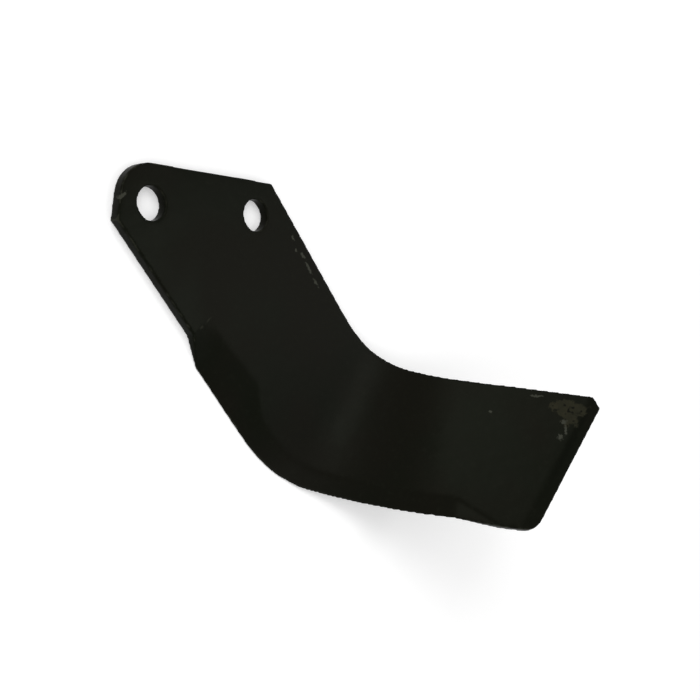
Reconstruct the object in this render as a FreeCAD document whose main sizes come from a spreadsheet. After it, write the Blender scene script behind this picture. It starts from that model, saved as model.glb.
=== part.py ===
"""Rotary tiller blade: one forged flat bar with a drilled head, a bevelled cutting edge and a turned-in wing.

The back face of the head lies in the XY plane and is the face that bolts to the rotor flange. The origin is
midway between the two bolt holes on that face, the hole line runs along X, and the wing bends towards +Z.
The blade is laid out as a flat blank in the bar's frame: x runs down the bar, y points to the trailing edge.
The blank curves edgewise, and a conical bend then lifts the wing out of its plane.
"""
import FreeCAD, Part
import math
import os

import Sketcher
from FreeCAD import Placement, Rotation, Vector

SIZES = [
    # plate and bolt holes
    ("thickness", 5.0, "plate thickness"),
    ("hole_spacing", 57.0, "bolt holes, centre to centre"),
    ("hole_diameter", 14.0, "bolt holes, clearance for a half-inch bolt"),
    # head, measured from the middle of the hole line
    ("bar_angle", 50.25, "hole line to the bar, degrees"),
    ("trailing_offset", 39.0, "hole centre to the trailing edge"),
    ("leading_offset", 39.6, "hole centre to the leading edge above the shoulder"),
    ("top_margin", 15.7, "hole centre to the top end of the bar"),
    ("top_slope", 1.0, "top end against the hole line, degrees"),
    ("side_margin", 43.3, "hole centre to the cut side of the head"),
    ("side_slope", 9.0, "cut side of the head against the square, degrees"),
    ("head_corner_radius", 15.0, "rounded corner of the head"),
    # shoulder where the cutting edge begins, along the bar
    ("shoulder_start", 36.0, "hole centre to the shoulder"),
    ("shoulder_length", 13.0, "length of the shoulder"),
    ("edge_spread", 5.3, "how far forging spreads the cutting edge"),
    # cutting bevel on the inner face
    ("start_bevel_width", 12.0, "width of the ground facet where the shoulder starts"),
    ("shoulder_bevel_width", 16.5, "width of the facet at the foot of the shoulder"),
    ("full_bevel_width", 19.5, "width of the facet where it is widest"),
    ("full_bevel_distance", 76.0, "hole centre to the widest place of the facet"),
    ("curve_bevel_width", 11.0, "width of the facet where the edges start to curve"),
    ("bend_bevel_width", 9.0, "width of the facet round the bend and on the wing"),
    ("edge_land", 0.8, "thickness left at the cutting edge"),
    # edgewise curve of the blank
    ("curve_angle", 32.3, "edgewise turn, degrees"),
    ("trailing_curve_start", 87.7, "hole centre to the curve of the trailing edge"),
    ("trailing_curve_radius", 95.5, "radius of the trailing edge"),
    ("leading_curve_start", 91.4, "hole centre to the curve of the cutting edge"),
    ("leading_curve_radius", 86.4, "radius of the cutting edge"),
    # conical bend that turns the wing in
    ("bend_start", 106.3, "hole centre to the bend line, along the trailing edge"),
    ("bend_skew", 9.8, "bend line against the square, degrees"),
    ("bend_apex_distance", 183.0, "trailing edge to the apex of the cone"),
    ("bend_half_angle", 22.85, "half angle of the cone, degrees"),
    ("bend_angle", 50.8, "turn about the axis of the cone, degrees"),
    # wing, measured from the end of the curve of the trailing edge
    ("wing_length", 97.8, "trailing edge of the wing"),
    ("wing_end_slope", 25.1, "end of the wing against the square, degrees"),
    ("corner_cut_length", 4.1, "clipped corner, along the wing"),
    ("corner_cut_width", 5.6, "clipped corner, across the wing"),
    ("tip_spread_start", 3.0, "end of the bend to the start of the spread tip"),
    ("tip_spread_length", 23.0, "length over which the tip spreads"),
    ("tip_spread", 2.4, "how far the tip spreads past the cutting edge"),
    ("tip_radius", 10.0, "rounded tip"),
    ("end_bevel_width", 7.0, "worn facet along the end of the wing"),
    ("end_bevel_depth", 1.2, "depth of that facet"),
]

X_AXIS = Vector(1, 0, 0)
Z_AXIS = Vector(0, 0, 1)
SECTION_STEP = 2.0      # degrees about the apex between the sections of the bend
RUN_OUT = 0.04          # share of the bevel that is left where it runs out
BEYOND = 20.0           # how far cutters and trimmed stock reach past the blank

doc = FreeCAD.newDocument("rotary_tiller_blade")
sheet = doc.addObject("Spreadsheet::Sheet", "Sizes")
for row, (alias, value, meaning) in enumerate(SIZES, start=1):
    sheet.set(f"A{row}", alias)
    sheet.set(f"B{row}", str(value))
    sheet.set(f"C{row}", meaning)
    sheet.setAlias(f"B{row}", alias)
doc.recompute()


def size(alias):
    return float(sheet.get(alias))


# ---------------------------------------------------------------- the flat blank, in the bar's frame

bar = Placement(Vector(), Rotation(Z_AXIS, -size("bar_angle")))
turn = math.radians(size("curve_angle"))


def blank_edge(offset, curve_start, radius):
    """One long edge of the blank: a straight, an arc through the edgewise turn, and a straight."""
    far = 10 * size("wing_length")
    along = Vector(math.cos(turn), math.sin(turn), 0)
    start = Vector(curve_start, offset, 0)
    centre = start + Vector(0, radius, 0)
    middle = centre + radius * Vector(math.sin(turn / 2), -math.cos(turn / 2), 0)
    end = centre + radius * Vector(math.sin(turn), -math.cos(turn), 0)
    edges = [Part.makeLine(start - far * X_AXIS, start), Part.Arc(start, middle, end).toShape(),
             Part.makeLine(end, end + far * along)]
    return Part.Wire(edges), start, end


cutting_offset = size("leading_offset") + size("edge_spread")
trailing_edge, trailing_start, trailing_end = blank_edge(
    size("trailing_offset"), size("trailing_curve_start"), size("trailing_curve_radius"))
cutting_edge, cutting_start, cutting_end = blank_edge(
    -cutting_offset, size("leading_curve_start"), size("leading_curve_radius"))

# The bend is a cone whose rulings all pass through the apex. A ruling's skew is its angle to the square.
bend_line = Vector(math.sin(math.radians(size("bend_skew"))), -math.cos(math.radians(size("bend_skew"))), 0)
apex = Vector(size("bend_start"), size("trailing_offset"), 0) - size("bend_apex_distance") * bend_line
half_angle = math.radians(size("bend_half_angle"))
cone_axis = math.cos(half_angle) * bend_line + math.sin(half_angle) * Z_AXIS
bend_end_skew = size("bend_skew") + size("bend_angle") * math.sin(half_angle)
inner_apex = apex + size("thickness") * Z_AXIS


def fold(skew):
    """Where the cone carries the blank's material that lies on a ruling."""
    bent = min(max(skew, size("bend_skew")), bend_end_skew) - size("bend_skew")
    about_axis = Rotation(cone_axis, bent / math.sin(half_angle))
    unrolled = Rotation(Z_AXIS, -bent)
    return Placement(inner_apex, about_axis * unrolled) * Placement(-inner_apex, Rotation())


def skew_of(point):
    return math.degrees(math.atan2(point.x - apex.x, apex.y - point.y))


# The ruling on which both edges are still straight.
curve_skew = min(skew_of(trailing_start), skew_of(cutting_start)) - SECTION_STEP / 4


def crossing(edge, skew):
    """Where a ruling crosses a long edge of the blank."""
    direction = Vector(math.sin(math.radians(skew)), -math.cos(math.radians(skew)), 0)
    ruling = Part.makeLine(apex, apex + 10 * size("bend_apex_distance") * direction)
    return edge.distToShape(ruling)[1][0][0]


# ---------------------------------------------------------------- helpers for the body's features

body = doc.addObject("PartDesign::Body", "tiller_blade")
body.Label = "tiller_blade"
base_plane = next(plane for plane in body.Origin.OriginFeatures if plane.Role == "XY_Plane")


def new_sketch(name, placement):
    sketch = body.newObject("Sketcher::SketchObject", name)
    sketch.AttachmentSupport = [(base_plane, "")]
    sketch.MapMode = "FlatFace"
    sketch.AttachmentOffset = placement
    return sketch


def add_outline(sketch, points):
    """A closed outline of straight lines, joined end to end."""
    count = len(points)
    for index in range(count):
        sketch.addGeometry(Part.LineSegment(points[index], points[(index + 1) % count]))
    for index in range(count):
        sketch.addConstraint(Sketcher.Constraint("Coincident", index, 2, (index + 1) % count, 1))


def block(sketch):
    """Hold an outline whose corners were worked out from the sizes."""
    for line in range(sketch.GeometryCount):
        sketch.addConstraint(Sketcher.Constraint("Block", line))


def bind(sketch, constraint, name, expression=None):
    """Add a named dimension, and tie it to the sheet where it is one of its sizes."""
    number = sketch.addConstraint(constraint)
    sketch.renameConstraint(number, name)
    if expression:
        sketch.setExpression(f"Constraints.{name}", expression)


def blade_section(name, placement, trailing, cutting, bevel_width, share=1.0):
    """Section across the blade: x runs from the trailing edge to the cutting edge, y through the plate."""
    thick = size("thickness")
    land = thick - share * (thick - size("edge_land"))
    bevel = cutting - bevel_width
    sketch = new_sketch(name, placement * Placement(Vector(), Rotation(X_AXIS, 90)))
    add_outline(sketch, [Vector(trailing, 0, 0), Vector(cutting, 0, 0), Vector(cutting, land, 0),
                         Vector(bevel, thick, 0), Vector(trailing, thick, 0)])
    for line, kind in enumerate(("Horizontal", "Vertical", None, "Horizontal", "Vertical")):
        if kind:
            sketch.addConstraint(Sketcher.Constraint(kind, line))
    bind(sketch, Sketcher.Constraint("DistanceX", -1, 1, 0, 1, trailing), "trailing")
    bind(sketch, Sketcher.Constraint("DistanceX", -1, 1, 0, 2, cutting), "cutting")
    bind(sketch, Sketcher.Constraint("DistanceX", -1, 1, 2, 2, bevel), "bevel")
    bind(sketch, Sketcher.Constraint("DistanceY", 0, 1, 4, 1, thick), "plate", "Sizes.thickness")
    bind(sketch, Sketcher.Constraint("DistanceY", 1, 1, 1, 2, land), "land",
         f"Sizes.thickness - {share} * (Sizes.thickness - Sizes.edge_land)")
    sketch.addConstraint(Sketcher.Constraint("PointOnObject", 0, 1, -1))
    return sketch


def square_section(name, frame, along, trailing, cutting, bevel_width, share=1.0):
    """Section square to the bar or the wing; the offsets are measured from the frame's x axis."""
    across = Placement(Vector(along, 0, 0), Rotation(Z_AXIS, -90))
    return blade_section(name, frame * across, -trailing, -cutting, bevel_width, share)


def ruling_section(name, skew):
    """Section along a ruling of the cone, in the place that the bend gives it."""
    placement = bar * fold(skew) * Placement(apex, Rotation(Z_AXIS, skew - 90))
    before_bend = min(1.0, max(0.0, (size("bend_skew") - skew) / (size("bend_skew") - curve_skew)))
    bevel_width = (before_bend * size("curve_bevel_width")
                   + (1 - before_bend) * size("bend_bevel_width"))
    trailing = apex.distanceToPoint(crossing(trailing_edge, skew))
    cutting = apex.distanceToPoint(crossing(cutting_edge, skew))
    return blade_section(name, placement, trailing, cutting, bevel_width)


def add_loft(name, sections, ruled):
    loft = body.newObject("PartDesign::AdditiveLoft", name)
    loft.Profile = sections[0]
    loft.Sections = sections[1:]
    loft.Ruled = ruled
    doc.recompute()


def rulings_between(name, first, last):
    """Evenly spaced sections of the blade from one ruling to another."""
    steps = max(2, math.ceil((last - first) / SECTION_STEP))
    return [ruling_section(f"{name}_{step}", first + (last - first) * step / steps) for step in range(steps + 1)]


def add_fillet(name, base, frame, corner, radius):
    """Round the edge that stands on a corner of the blank."""
    middle = frame.multVec(corner + size("thickness") / 2 * Z_AXIS)
    distances = [edge.CenterOfMass.distanceToPoint(middle) for edge in base.Shape.Edges]
    nearest = distances.index(min(distances))
    fillet = body.newObject("PartDesign::Fillet", name)
    fillet.Base = (base, [f"Edge{nearest + 1}"])
    fillet.setExpression("Radius", radius)
    doc.recompute()
    return fillet


def cut_through(name, profile, length):
    """Pocket on both sides of a sketch's plane."""
    pocket = body.newObject("PartDesign::Pocket", name)
    pocket.Profile = profile
    pocket.Midplane = True
    pocket.Length = length
    doc.recompute()
    return pocket


# ---------------------------------------------------------------- head: drilled, one corner rounded

def cross_at(point_a, angle_a, point_b, angle_b):
    """Where two lines of the blank cross, each given by a point and its direction in radians."""
    a = Vector(math.cos(angle_a), math.sin(angle_a), 0)
    b = Vector(math.cos(angle_b), math.sin(angle_b), 0)
    gap = point_b - point_a
    return point_a + a * ((gap.x * b.y - gap.y * b.x) / (a.x * b.y - a.y * b.x))


hole_line = math.radians(size("bar_angle"))
top_angle = hole_line - math.radians(size("top_slope"))
side_angle = hole_line + math.pi / 2 - math.radians(size("side_slope"))
top_foot = size("top_margin") * Vector(-math.sin(top_angle), math.cos(top_angle), 0)
side_foot = size("side_margin") * Vector(-math.sin(side_angle), math.cos(side_angle), 0)
trailing_foot = Vector(size("shoulder_start"), size("trailing_offset"), 0)
leading_foot = Vector(size("shoulder_start"), -size("leading_offset"), 0)
top_corner = cross_at(trailing_foot, 0, top_foot, top_angle)
rounded_corner = cross_at(top_foot, top_angle, side_foot, side_angle)
side_corner = cross_at(side_foot, side_angle, leading_foot, 0)

head_outline = new_sketch("head_outline", bar)
add_outline(head_outline, [leading_foot, side_corner, rounded_corner, top_corner, trailing_foot])
head_outline.addConstraint(Sketcher.Constraint("Horizontal", 0))
head_outline.addConstraint(Sketcher.Constraint("Horizontal", 3))
head_outline.addConstraint(Sketcher.Constraint("Vertical", 4))
bind(head_outline, Sketcher.Constraint("DistanceX", -1, 1, 0, 1, leading_foot.x), "shoulder",
     "Sizes.shoulder_start")
bind(head_outline, Sketcher.Constraint("DistanceY", 0, 1, -1, 1, size("leading_offset")), "leading",
     "Sizes.leading_offset")
bind(head_outline, Sketcher.Constraint("DistanceY", -1, 1, 3, 2, size("trailing_offset")), "trailing",
     "Sizes.trailing_offset")
bind(head_outline, Sketcher.Constraint("Angle", 1, side_angle), "side_direction",
     "Sizes.bar_angle + 90 - Sizes.side_slope")
bind(head_outline, Sketcher.Constraint("Angle", 2, top_angle), "top_direction",
     "Sizes.bar_angle - Sizes.top_slope")
bind(head_outline, Sketcher.Constraint("Distance", -1, 1, 1, size("side_margin")), "side", "Sizes.side_margin")
bind(head_outline, Sketcher.Constraint("Distance", -1, 1, 2, size("top_margin")), "top", "Sizes.top_margin")

head = body.newObject("PartDesign::Pad", "head")
head.Profile = head_outline
head.setExpression("Length", "Sizes.thickness")
doc.recompute()

add_fillet("head_corner", head, bar, rounded_corner, "Sizes.head_corner_radius")

# ---------------------------------------------------------------- shoulder, bend and wing, section by section

shoulder_end = size("shoulder_start") + size("shoulder_length")
shoulder = [
    square_section("shoulder_top", bar, size("shoulder_start"), size("trailing_offset"),
                   -size("leading_offset"), size("start_bevel_width"), RUN_OUT),
    square_section("shoulder_bottom", bar, shoulder_end, size("trailing_offset"), -cutting_offset,
                   size("shoulder_bevel_width")),
    square_section("full_bevel", bar, size("full_bevel_distance"), size("trailing_offset"), -cutting_offset,
                   size("full_bevel_width")),
    ruling_section("shoulder_end", curve_skew),
]
add_loft("shoulder", shoulder, ruled=True)
add_loft("edgewise_curve", rulings_between("curve", curve_skew, size("bend_skew")), ruled=False)
add_loft("bend", rulings_between("bend", size("bend_skew"), bend_end_skew), ruled=False)

# The wing's own frame starts where the curve of the trailing edge ends, and x runs along the wing.
wing_flat = Placement(trailing_end, Rotation(Z_AXIS, size("curve_angle")))
wing = bar * fold(bend_end_skew) * wing_flat
wing_cutting = wing_flat.inverse().multVec(cutting_end).y
tip_cutting = wing_cutting - size("tip_spread")
root_points = [crossing(edge, bend_end_skew) for edge in (trailing_edge, cutting_edge)]
wing_root = max(wing_flat.inverse().multVec(point).x for point in root_points)
run_out_width = RUN_OUT * size("bend_bevel_width")
tip_start = wing_root + size("tip_spread_start")
tip_end = tip_start + size("tip_spread_length")
stock_end = size("wing_length") + size("corner_cut_length") + BEYOND
wing_sections = [
    ruling_section("wing_root", bend_end_skew),
    square_section("tip_start", wing, tip_start, 0, wing_cutting, size("bend_bevel_width")),
    square_section("tip_end", wing, tip_end, 0, tip_cutting, run_out_width, RUN_OUT),
    square_section("stock_end", wing, stock_end, 0, tip_cutting, run_out_width, RUN_OUT),
]
add_loft("wing", wing_sections, ruled=True)

# ---------------------------------------------------------------- end of the wing: trimmed, clipped and rounded

top_cut = Vector(size("wing_length"), 0, 0)
clipped = top_cut + Vector(size("corner_cut_length"), -size("corner_cut_width"), 0)
end_angle = -math.pi / 2 - math.radians(size("wing_end_slope"))
tip_corner = cross_at(clipped, end_angle, Vector(0, tip_cutting, 0), 0)
outside = stock_end + BEYOND
trim_outline = new_sketch("trim_outline", wing)
add_outline(trim_outline, [top_cut, clipped, tip_corner, tip_corner - BEYOND * Vector(0, 1, 0),
                           Vector(outside, tip_cutting - BEYOND, 0), Vector(outside, BEYOND, 0),
                           Vector(size("wing_length"), BEYOND, 0)])
block(trim_outline)
wing_trim = cut_through("wing_trim", trim_outline, 4 * size("thickness"))
add_fillet("tip", wing_trim, wing, tip_corner, "Sizes.tip_radius")

# The worn facet is a wedge cut along the end; its sketch looks along the end, with x pointing out of it.
end_frame = wing * Placement(clipped, Rotation(Z_AXIS, -size("wing_end_slope")))
wedge = new_sketch("end_wedge", end_frame * Placement(Vector(), Rotation(X_AXIS, 90)))
facet_slope = size("end_bevel_depth") / size("end_bevel_width")
add_outline(wedge, [Vector(-size("end_bevel_width"), size("thickness"), 0),
                    Vector(BEYOND, size("thickness") - size("end_bevel_depth") - BEYOND * facet_slope, 0),
                    Vector(BEYOND, size("thickness") + BEYOND, 0)])
block(wedge)
cut_through("end_bevel", wedge, 4 * size("wing_length"))

# ---------------------------------------------------------------- bolt holes

hole_centres = new_sketch("hole_centres", Placement())
for side, name in ((-1, "left"), (1, "right")):
    circle = hole_centres.addGeometry(Part.Circle(Vector(side * size("hole_spacing") / 2, 0, 0), Z_AXIS,
                                                  size("hole_diameter") / 2))
    bind(hole_centres, Sketcher.Constraint("Diameter", circle, size("hole_diameter")), f"{name}_diameter",
         "Sizes.hole_diameter")
bind(hole_centres, Sketcher.Constraint("DistanceX", 0, 3, 1, 3, size("hole_spacing")), "spacing",
     "Sizes.hole_spacing")
hole_centres.addConstraint(Sketcher.Constraint("PointOnObject", 0, 3, -1))
hole_centres.addConstraint(Sketcher.Constraint("Symmetric", 0, 3, 1, 3, -1, 1))
cut_through("bolt_holes", hole_centres, 4 * size("thickness"))

# ---------------------------------------------------------------- checks and hand-over

for item in doc.Objects:
    if "Invalid" in item.State or "Error" in item.State:
        raise RuntimeError(f"{item.Name} failed: {item.State}")
if body.Shape.isNull() or not body.Shape.isValid() or len(body.Shape.Solids) != 1:
    raise RuntimeError("tiller_blade is not one valid solid")

os.makedirs("parts", exist_ok=True)
body.Shape.exportStep(f"parts/{body.Label}.step")
print(f"volume {body.Shape.Volume / 1000:.1f} cm3, faces {len(body.Shape.Faces)}")
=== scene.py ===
"""A forged rotary tiller blade in its satin black paint, lying on white paper."""
import math

import bmesh
import bpy
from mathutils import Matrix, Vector
from mathutils.kdtree import KDTree


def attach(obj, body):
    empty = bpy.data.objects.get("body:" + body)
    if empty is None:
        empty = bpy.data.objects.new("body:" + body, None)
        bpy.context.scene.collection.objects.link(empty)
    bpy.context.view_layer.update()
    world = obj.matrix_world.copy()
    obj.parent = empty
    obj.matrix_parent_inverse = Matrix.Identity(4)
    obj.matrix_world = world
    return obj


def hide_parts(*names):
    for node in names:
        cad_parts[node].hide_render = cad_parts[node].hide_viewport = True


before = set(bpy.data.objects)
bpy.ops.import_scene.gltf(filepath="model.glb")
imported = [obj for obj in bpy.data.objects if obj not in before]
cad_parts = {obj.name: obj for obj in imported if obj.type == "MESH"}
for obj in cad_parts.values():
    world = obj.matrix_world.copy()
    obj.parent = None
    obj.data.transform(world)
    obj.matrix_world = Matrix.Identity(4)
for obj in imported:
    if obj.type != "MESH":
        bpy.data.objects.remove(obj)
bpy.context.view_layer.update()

MM = 0.001
NODE = "tiller_blade"

# Where the camera stands, what it looks at on the floor, and its roll.
CAMERA_PLACE = (-280.5 * MM, -53.5 * MM, 329.0 * MM)
CAMERA_TARGET = (96.4 * MM, -60.6 * MM, 0.0)
CAMERA_ROLL = math.radians(90.2)
CAMERA_LENS = 51.9

# The forging: skinned in even squares, so that its facets can run softly into
# the flats, its arrises are rounded and the hammer leaves it a little uneven.
WELD = 0.002 * MM
SKIN_STEP = 0.8 * MM
ARRIS_ANGLE = math.radians(35)
ARRIS_REACH = 1.3 * MM
ARRIS_CORE = 0.5 * MM
ARRIS_PASSES = 2
FACET_PASSES = 24
FORGING_WAVE = 24 * MM
FORGING_RELIEF = 0.22 * MM
SCALE_WAVE = 5 * MM
SCALE_RELIEF = 0.06 * MM

# The wing's own frame: x runs along its top edge from the end of the curve,
# y points across it to that edge, and z comes out of its inner face.
WING_PLACE = (134.76 * MM, -74.89 * MM, 5.90 * MM)
WING_TURN = tuple(math.radians(angle) for angle in (-13.58, -44.99, -11.14))
BAR_TURN = math.radians(-50.25)
INNER_FACE = 5 * MM

# Each softbox: its bearing from +X, its height, its size in metres, its watts.
SOFTBOXES = (
    ("key_softbox", math.radians(122), math.radians(38), 0.70, 4.6),
    ("rim_softbox", math.radians(8), math.radians(56), 0.25, 1.0),
    ("side_softbox", math.radians(-164), math.radians(27), 0.45, 2.6),
    ("low_softbox", math.radians(-78), math.radians(33), 0.35, 0.9),
)
SOFTBOX_DISTANCE = 1.2
LIT_POINT = (90 * MM, -80 * MM, 20 * MM)
SURROUND_STRENGTH = 0.6

FLOOR_SIZE = 4.0
FLOOR_LIFT = 0.25
BACKGROUND = "#ffffff"

# The paint's patterns, by the width of one cloud, fleck or grain of each.
DRIFT_WIDTH = 45 * MM
MOTTLE_WIDTH = 2.5 * MM
RUBBED_WIDTH = 5 * MM
RUST_WIDTH = 4 * MM
PIT_WIDTH = 2.2 * MM
SPRAY_GRAIN = 0.9 * MM
SPRAY_DEPTH = 0.04 * MM
DRIFT_RANGE = (0.35, 0.65)

# How wear tears the outline of its marks, and how deep a mark reaches.
TORN_WIDTH = 3 * MM
CHIP_TORN_WIDTH = 1.2 * MM
MARK_DEPTH = 2 * MM

# The painted shade in the crease of the wing's end and the worn patch: centre
# and half sizes in millimetres in the wing's frame, turn, softness and
# raggedness.
CREASE_SHADE = ((86.5, -26), (25, 1.6), math.radians(65), 1.6, 0.25)
UPPER_PATCH = ((85, -8), (10.0, 4.2), 0.0, 0.3, 0.35)
LOWER_PATCH = ((85.5, -13.5), (4.6, 4.2), 0.0, 0.4, 0.35)

# Bright chips: centre and half sizes in millimetres, and turn.
CHIP_SOFTNESS = 0.7
CHIP_RAGGEDNESS = 0.5
WING_CHIPS = (
    ((82.3, -15.9), (1.6, 1.0), 0.3),
    ((83.3, -20.0), (0.7, 2.2), 0.1),
    ((80.7, -24.2), (1.6, 1.3), 0.5),
    ((67.3, -3.7), (2.8, 0.6), 0.1),
    ((43.7, -15.3), (0.8, 0.7), 0.0),
)
SHANK_CHIPS = (
    ((39.6, 34.2), (1.2, 0.7), 0.0),
    ((45.0, 32.3), (0.8, 0.6), 0.0),
    ((50.0, 34.3), (2.0, 0.7), 0.1),
    ((56.5, 33.6), (3.6, 0.7), -0.1),
    ((64.5, 33.0), (2.2, 0.6), 0.1),
    ((-28.7, -31.8), (0.6, 2.2), 0.0),
)


def colour(hex_value):
    """An sRGB hex value as a linear colour."""
    channels = (int(hex_value[i:i + 2], 16) / 255 for i in (1, 3, 5))
    linear = [c / 12.92 if c <= 0.04045 else ((c + 0.055) / 1.055) ** 2.4
              for c in channels]
    return (*linear, 1.0)


def add(tree, kind, inputs=None, output=None, **settings):
    """Adds a node; an input is a value or the socket that feeds it.

    Gives back the output that is asked for, or else the node."""
    node = tree.nodes.new("ShaderNode" + kind)
    for name, value in settings.items():
        setattr(node, name, value)
    for name, value in (inputs or {}).items():
        if isinstance(value, bpy.types.NodeSocket):
            tree.links.new(value, node.inputs[name])
        else:
            node.inputs[name].default_value = value
    return node if output is None else node.outputs[output]


# ------------------------------------------------------------ the forging

def activate(piece):
    if bpy.context.object and bpy.context.object.mode != "OBJECT":
        bpy.ops.object.mode_set(mode="OBJECT")
    bpy.ops.object.select_all(action="DESELECT")
    piece.select_set(True)
    bpy.context.view_layer.objects.active = piece


def apply_modifier(piece, kind, **settings):
    activate(piece)
    modifier = piece.modifiers.new(kind.title(), kind)
    for name, value in settings.items():
        setattr(modifier, name, value)
    bpy.ops.object.modifier_apply(modifier=modifier.name)


def roughen(piece, name, wave, relief):
    """Moves the skin in and out by clouds of that wavelength."""
    clouds = bpy.data.textures.new(name, "CLOUDS")
    clouds.noise_scale = wave
    clouds.noise_depth = 2
    apply_modifier(piece, "DISPLACE", strength=relief, texture=clouds,
                   texture_coords="LOCAL")


def merged_copy(name):
    """The solid's mesh as an object of its own, with its points merged."""
    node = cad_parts[NODE]
    mesh = node.data.copy()
    mesh.transform(node.matrix_world)
    mesh.materials.clear()
    piece = bpy.data.objects.new(name, mesh)
    bpy.context.scene.collection.objects.link(piece)
    activate(piece)
    bpy.ops.object.mode_set(mode="EDIT")
    bpy.ops.mesh.select_all(action="SELECT")
    bpy.ops.mesh.remove_doubles(threshold=WELD)
    bpy.ops.object.mode_set(mode="OBJECT")
    return piece


def arris_points(pattern):
    """Points along the sharp edges of the solid, closer than the skin's step."""
    points = []
    shape = bmesh.new()
    shape.from_mesh(pattern.data)
    for edge in shape.edges:
        if edge.calc_face_angle(0) > ARRIS_ANGLE:
            start, end = (vertex.co for vertex in edge.verts)
            steps = int(edge.calc_length() / SKIN_STEP) + 1
            points += [start.lerp(end, step / steps)
                       for step in range(steps + 1)]
    shape.free()
    tree = KDTree(len(points))
    for index, point in enumerate(points):
        tree.insert(point, index)
    tree.balance()
    return tree


def mark_arrises(blade, arrises):
    """Writes how near each point is to an arris, where the paint rubs thin."""
    nearness = []
    for vertex in blade.data.vertices:
        distance = arrises.find(vertex.co)[2]
        near = (ARRIS_REACH - distance) / (ARRIS_REACH - ARRIS_CORE)
        nearness.append(min(1.0, max(0.0, near)))
    flats = blade.vertex_groups.new(name="flats")
    for index, near in enumerate(nearness):
        flats.add([index], 1 - near, "REPLACE")
    rubbed = blade.data.attributes.new("rubbed", "FLOAT", "POINT")
    rubbed.data.foreach_set("value", nearness)


def forge_blade():
    """The blade's own skin, laid over its solid."""
    pattern = merged_copy("pattern")
    blade = merged_copy("forged_blade")
    apply_modifier(blade, "REMESH", mode="VOXEL", voxel_size=SKIN_STEP)
    apply_modifier(blade, "SHRINKWRAP", target=pattern,
                   wrap_method="NEAREST_SURFACEPOINT")
    mark_arrises(blade, arris_points(pattern))
    bpy.data.objects.remove(pattern)
    apply_modifier(blade, "SMOOTH", factor=0.5, iterations=ARRIS_PASSES)
    apply_modifier(blade, "SMOOTH", factor=0.5, iterations=FACET_PASSES,
                   vertex_group="flats")
    roughen(blade, "forging", FORGING_WAVE, FORGING_RELIEF)
    roughen(blade, "scale", SCALE_WAVE, SCALE_RELIEF)
    activate(blade)
    bpy.ops.object.shade_smooth()
    return blade


# ------------------------------------------------------------ its finish

def wear_mark(tree, place, centre, half_size, turn, soft, ragged,
              torn_width=TORN_WIDTH):
    """A soft-edged, torn oval on the inner face: 1 inside, 0 outside."""
    oval = add(tree, "Mapping", {
        "Vector": place,
        "Location": (centre[0] * MM, centre[1] * MM, INNER_FACE),
        "Rotation": (0, 0, turn),
        "Scale": (half_size[0] * MM, half_size[1] * MM, MARK_DEPTH)},
        "Vector", vector_type="TEXTURE")
    reach = add(tree, "VectorMath", {0: oval}, "Value", operation="LENGTH")
    tear = add(tree, "TexNoise", {
        "Vector": place, "Scale": 1 / torn_width, "Detail": 4.0}, "Fac")
    tear = add(tree, "MapRange", {
        "Value": tear, "From Min": 0.3, "From Max": 0.7,
        "To Min": -ragged, "To Max": ragged}, "Result",
        interpolation_type="SMOOTHSTEP")
    reach = add(tree, "Math", {0: reach, 1: tear}, 0, operation="ADD")
    return add(tree, "MapRange", {
        "Value": reach, "From Min": 1 + soft / 2, "From Max": 1 - soft / 2},
        "Result", interpolation_type="SMOOTHSTEP")


def sprayed_coat(tree, place, drift):
    """Olive-black enamel that drifts between a green and a brown black."""
    side = add(tree, "MapRange", {
        "Value": drift, "From Min": DRIFT_RANGE[0],
        "From Max": DRIFT_RANGE[1]}, "Result",
        interpolation_type="SMOOTHSTEP")
    coat = add(tree, "Mix", {
        "Factor": side, 6: colour("#090b06"), 7: colour("#0c0b07")}, 2,
        data_type="RGBA")
    # dust settles in it as a fine, faint mottle
    mottle = add(tree, "TexNoise", {
        "Vector": place, "Scale": 1 / MOTTLE_WIDTH, "Detail": 4.0}, "Fac")
    mottle = add(tree, "MapRange", {
        "Value": mottle, "From Min": 0.5, "From Max": 0.8,
        "To Max": 0.35}, "Result", interpolation_type="SMOOTHSTEP")
    return add(tree, "Mix", {
        "Factor": mottle, 6: coat, 7: colour("#14150f")}, 2,
        data_type="RGBA")


def rub_arrises(tree, place, skin):
    """Thins the paint to grey in places along the arrises."""
    arris = add(tree, "Attribute", None, "Fac", attribute_name="rubbed")
    patches = add(tree, "TexNoise", {
        "Vector": place, "Scale": 1 / RUBBED_WIDTH, "Detail": 5.0}, "Fac")
    thin = add(tree, "Math", {0: arris, 1: patches}, 0, operation="MULTIPLY")
    thin = add(tree, "MapRange", {
        "Value": thin, "From Min": 0.42, "From Max": 0.62}, "Result",
        interpolation_type="SMOOTHSTEP")
    return add(tree, "Mix", {
        "Factor": thin, 6: skin, 7: colour("#23241d")}, 2, data_type="RGBA")


def paint_crease_shade(tree, wing, skin):
    """Painted shade: a soft dark line along the crease where the facet of the
    wing's end begins, standing in for its shadow.
    """
    crease = wear_mark(tree, wing, *CREASE_SHADE)
    crease = add(tree, "Math", {0: crease, 1: 0.5}, 0, operation="MULTIPLY")
    return add(tree, "Mix", {
        "Factor": crease, 6: skin, 7: colour("#020301")}, 2,
        data_type="RGBA")


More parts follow.
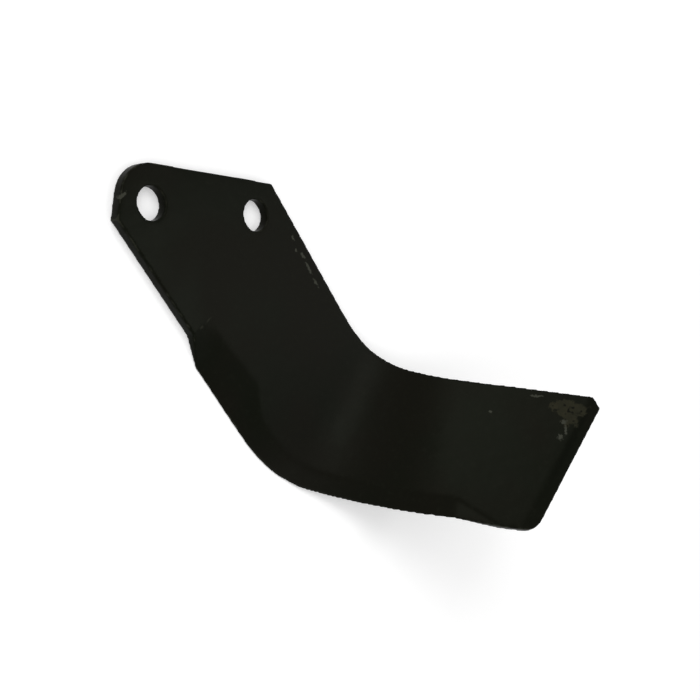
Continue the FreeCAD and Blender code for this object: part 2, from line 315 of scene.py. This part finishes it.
def wear_corner(tree, wing, patch, skin):
    """Takes the paint down to brown scale with dark pits inside the patch."""
    scale = add(tree, "TexNoise", {
        "Vector": wing, "Scale": 1 / RUST_WIDTH, "Detail": 4.0}, "Fac")
    scale = add(tree, "Mix", {
        "Factor": scale, 6: colour("#1b1c15"), 7: colour("#2a281d")}, 2,
        data_type="RGBA")
    skin = add(tree, "Mix", {"Factor": patch, 6: skin, 7: scale}, 2,
               data_type="RGBA")
    pits = add(tree, "TexNoise", {
        "Vector": wing, "Scale": 1 / PIT_WIDTH, "Detail": 1.0}, "Fac")
    pits = add(tree, "MapRange", {
        "Value": pits, "From Min": 0.6, "From Max": 0.68}, "Result",
        interpolation_type="SMOOTHSTEP")
    pits = add(tree, "Math", {0: pits, 1: patch}, 0, operation="MULTIPLY")
    return add(tree, "Mix", {
        "Factor": pits, 6: skin, 7: colour("#0a0a07")}, 2, data_type="RGBA")


def bright_chips(tree, wing, bar):
    """1 on the small chips where bare steel shows, 0 elsewhere."""
    chips = None
    for place, marks in ((wing, WING_CHIPS), (bar, SHANK_CHIPS)):
        for centre, half_size, turn in marks:
            chip = wear_mark(tree, place, centre, half_size, turn,
                             CHIP_SOFTNESS, CHIP_RAGGEDNESS, CHIP_TORN_WIDTH)
            if chips:
                chip = add(tree, "Math", {0: chips, 1: chip}, 0,
                           operation="MAXIMUM")
            chips = chip
    return chips


def painted_steel():
    """Satin black enamel sprayed on forged steel: an even olive-black coat
    with a low sheen, rubbed grey along the arrises and chipped to brown
    scale at the wing's top corner."""
    material = bpy.data.materials.new("satin_black_enamel")
    material.use_nodes = True
    tree = material.node_tree
    tree.nodes.clear()
    place = add(tree, "TexCoord", None, "Object")
    bar = add(tree, "Mapping", {
        "Vector": place, "Rotation": (0, 0, BAR_TURN)}, "Vector",
        vector_type="TEXTURE")
    wing = add(tree, "Mapping", {
        "Vector": place, "Location": WING_PLACE, "Rotation": WING_TURN},
        "Vector", vector_type="TEXTURE")

    drift = add(tree, "TexNoise", {
        "Vector": place, "Scale": 1 / DRIFT_WIDTH, "Detail": 2.0}, "Fac")
    patch = add(tree, "Math", {
        0: wear_mark(tree, wing, *UPPER_PATCH),
        1: wear_mark(tree, wing, *LOWER_PATCH)}, 0, operation="MAXIMUM")
    chips = bright_chips(tree, wing, bar)
    skin = sprayed_coat(tree, place, drift)
    skin = rub_arrises(tree, place, skin)
    # painted shade along the crease of the wing's end
    skin = paint_crease_shade(tree, wing, skin)
    skin = wear_corner(tree, wing, patch, skin)
    skin = add(tree, "Mix", {
        "Factor": chips, 6: skin, 7: colour("#35362f")}, 2, data_type="RGBA")

    # the worn patch has lost its sheen
    sheen = add(tree, "MapRange", {
        "Value": drift, "From Min": DRIFT_RANGE[0],
        "From Max": DRIFT_RANGE[1], "To Min": 0.30, "To Max": 0.37},
        "Result", interpolation_type="SMOOTHSTEP")
    dull = add(tree, "Math", {0: patch, 1: 0.25}, 0, operation="MULTIPLY")
    roughness = add(tree, "Math", {0: sheen, 1: dull}, 0, operation="ADD")

    # the spray leaves a fine grain, and chips lie below it
    grain = add(tree, "TexNoise", {
        "Vector": place, "Scale": 1 / SPRAY_GRAIN, "Detail": 3.0}, "Fac")
    sunk = add(tree, "Math", {0: chips, 1: 2}, 0, operation="MULTIPLY")
    relief = add(tree, "Math", {0: grain, 1: sunk}, 0, operation="SUBTRACT")
    bump = add(tree, "Bump", {
        "Height": relief, "Strength": 0.3, "Distance": SPRAY_DEPTH}, "Normal")
    paint = add(tree, "BsdfPrincipled", {
        "Base Color": skin, "Roughness": roughness,
        "Specular IOR Level": 0.04, "Specular Tint": (0.95, 1.0, 0.8, 1.0),
        "Normal": bump}, "BSDF")
    add(tree, "OutputMaterial", {"Surface": paint})
    return material


# ------------------------------------------------------------ the studio

def seen_rays(tree):
    """1 for rays that should see the white background, else 0."""
    rays = add(tree, "LightPath").outputs
    seen = add(tree, "Math", {
        0: rays["Is Camera Ray"], 1: rays["Is Glossy Ray"]}, 0,
        operation="MAXIMUM")
    return add(tree, "Math", {0: seen, 1: rays["Is Transmission Ray"]}, 0,
               operation="MAXIMUM")


def lay_floor():
    """Matt white paper: it shows the blade's shadow and no sheen."""
    bpy.ops.mesh.primitive_plane_add(size=FLOOR_SIZE)
    floor = bpy.context.object
    floor.name = "studio_floor"
    material = bpy.data.materials.new("matt_white_paper")
    material.use_nodes = True
    tree = material.node_tree
    tree.nodes.clear()
    lift = add(tree, "Math", {0: seen_rays(tree), 1: FLOOR_LIFT}, 0,
               operation="MULTIPLY")
    paper = add(tree, "BsdfPrincipled", {
        "Base Color": colour("#f4f4f4"), "Roughness": 0.9,
        "Specular IOR Level": 0.1, "Emission Color": colour(BACKGROUND),
        "Emission Strength": lift}, "BSDF")
    add(tree, "OutputMaterial", {"Surface": paper})
    floor.data.materials.append(material)


def light_studio():
    world = bpy.data.worlds.new("studio")
    bpy.context.scene.world = world
    world.use_nodes = True
    tree = world.node_tree
    tree.nodes.clear()
    surround = add(tree, "Background", {
        "Color": colour(BACKGROUND), "Strength": SURROUND_STRENGTH},
        "Background")
    backdrop = add(tree, "Background", {
        "Color": colour(BACKGROUND), "Strength": 1.0}, "Background")
    both = add(tree, "MixShader", {
        0: seen_rays(tree), 1: surround, 2: backdrop}, "Shader")
    add(tree, "OutputWorld", {"Surface": both})
    for name, bearing, height, size, power in SOFTBOXES:
        lamp = bpy.data.lights.new(name, "AREA")
        lamp.size = size
        lamp.energy = power
        holder = bpy.data.objects.new(name, lamp)
        away = Vector((math.cos(height) * math.cos(bearing),
                       math.cos(height) * math.sin(bearing),
                       math.sin(height)))
        holder.location = Vector(LIT_POINT) + SOFTBOX_DISTANCE * away
        holder.rotation_euler = away.to_track_quat("Z", "Y").to_euler()
        bpy.context.scene.collection.objects.link(holder)


def place_camera():
    camera = bpy.data.cameras.new("camera")
    camera.lens = CAMERA_LENS
    camera.clip_start = 0.01
    holder = bpy.data.objects.new("camera", camera)
    holder.location = CAMERA_PLACE
    aim = (Vector(CAMERA_TARGET) - holder.location).to_track_quat("-Z", "Y")
    holder.rotation_euler = aim.to_euler()
    holder.rotation_euler.rotate_axis("Z", CAMERA_ROLL)
    bpy.context.scene.collection.objects.link(holder)
    bpy.context.scene.camera = holder


blade = forge_blade()
blade.data.materials.append(painted_steel())
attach(blade, "root")
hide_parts(NODE)
lay_floor()
light_studio()
place_camera()
bpy.context.scene.view_settings.view_transform = "Standard"
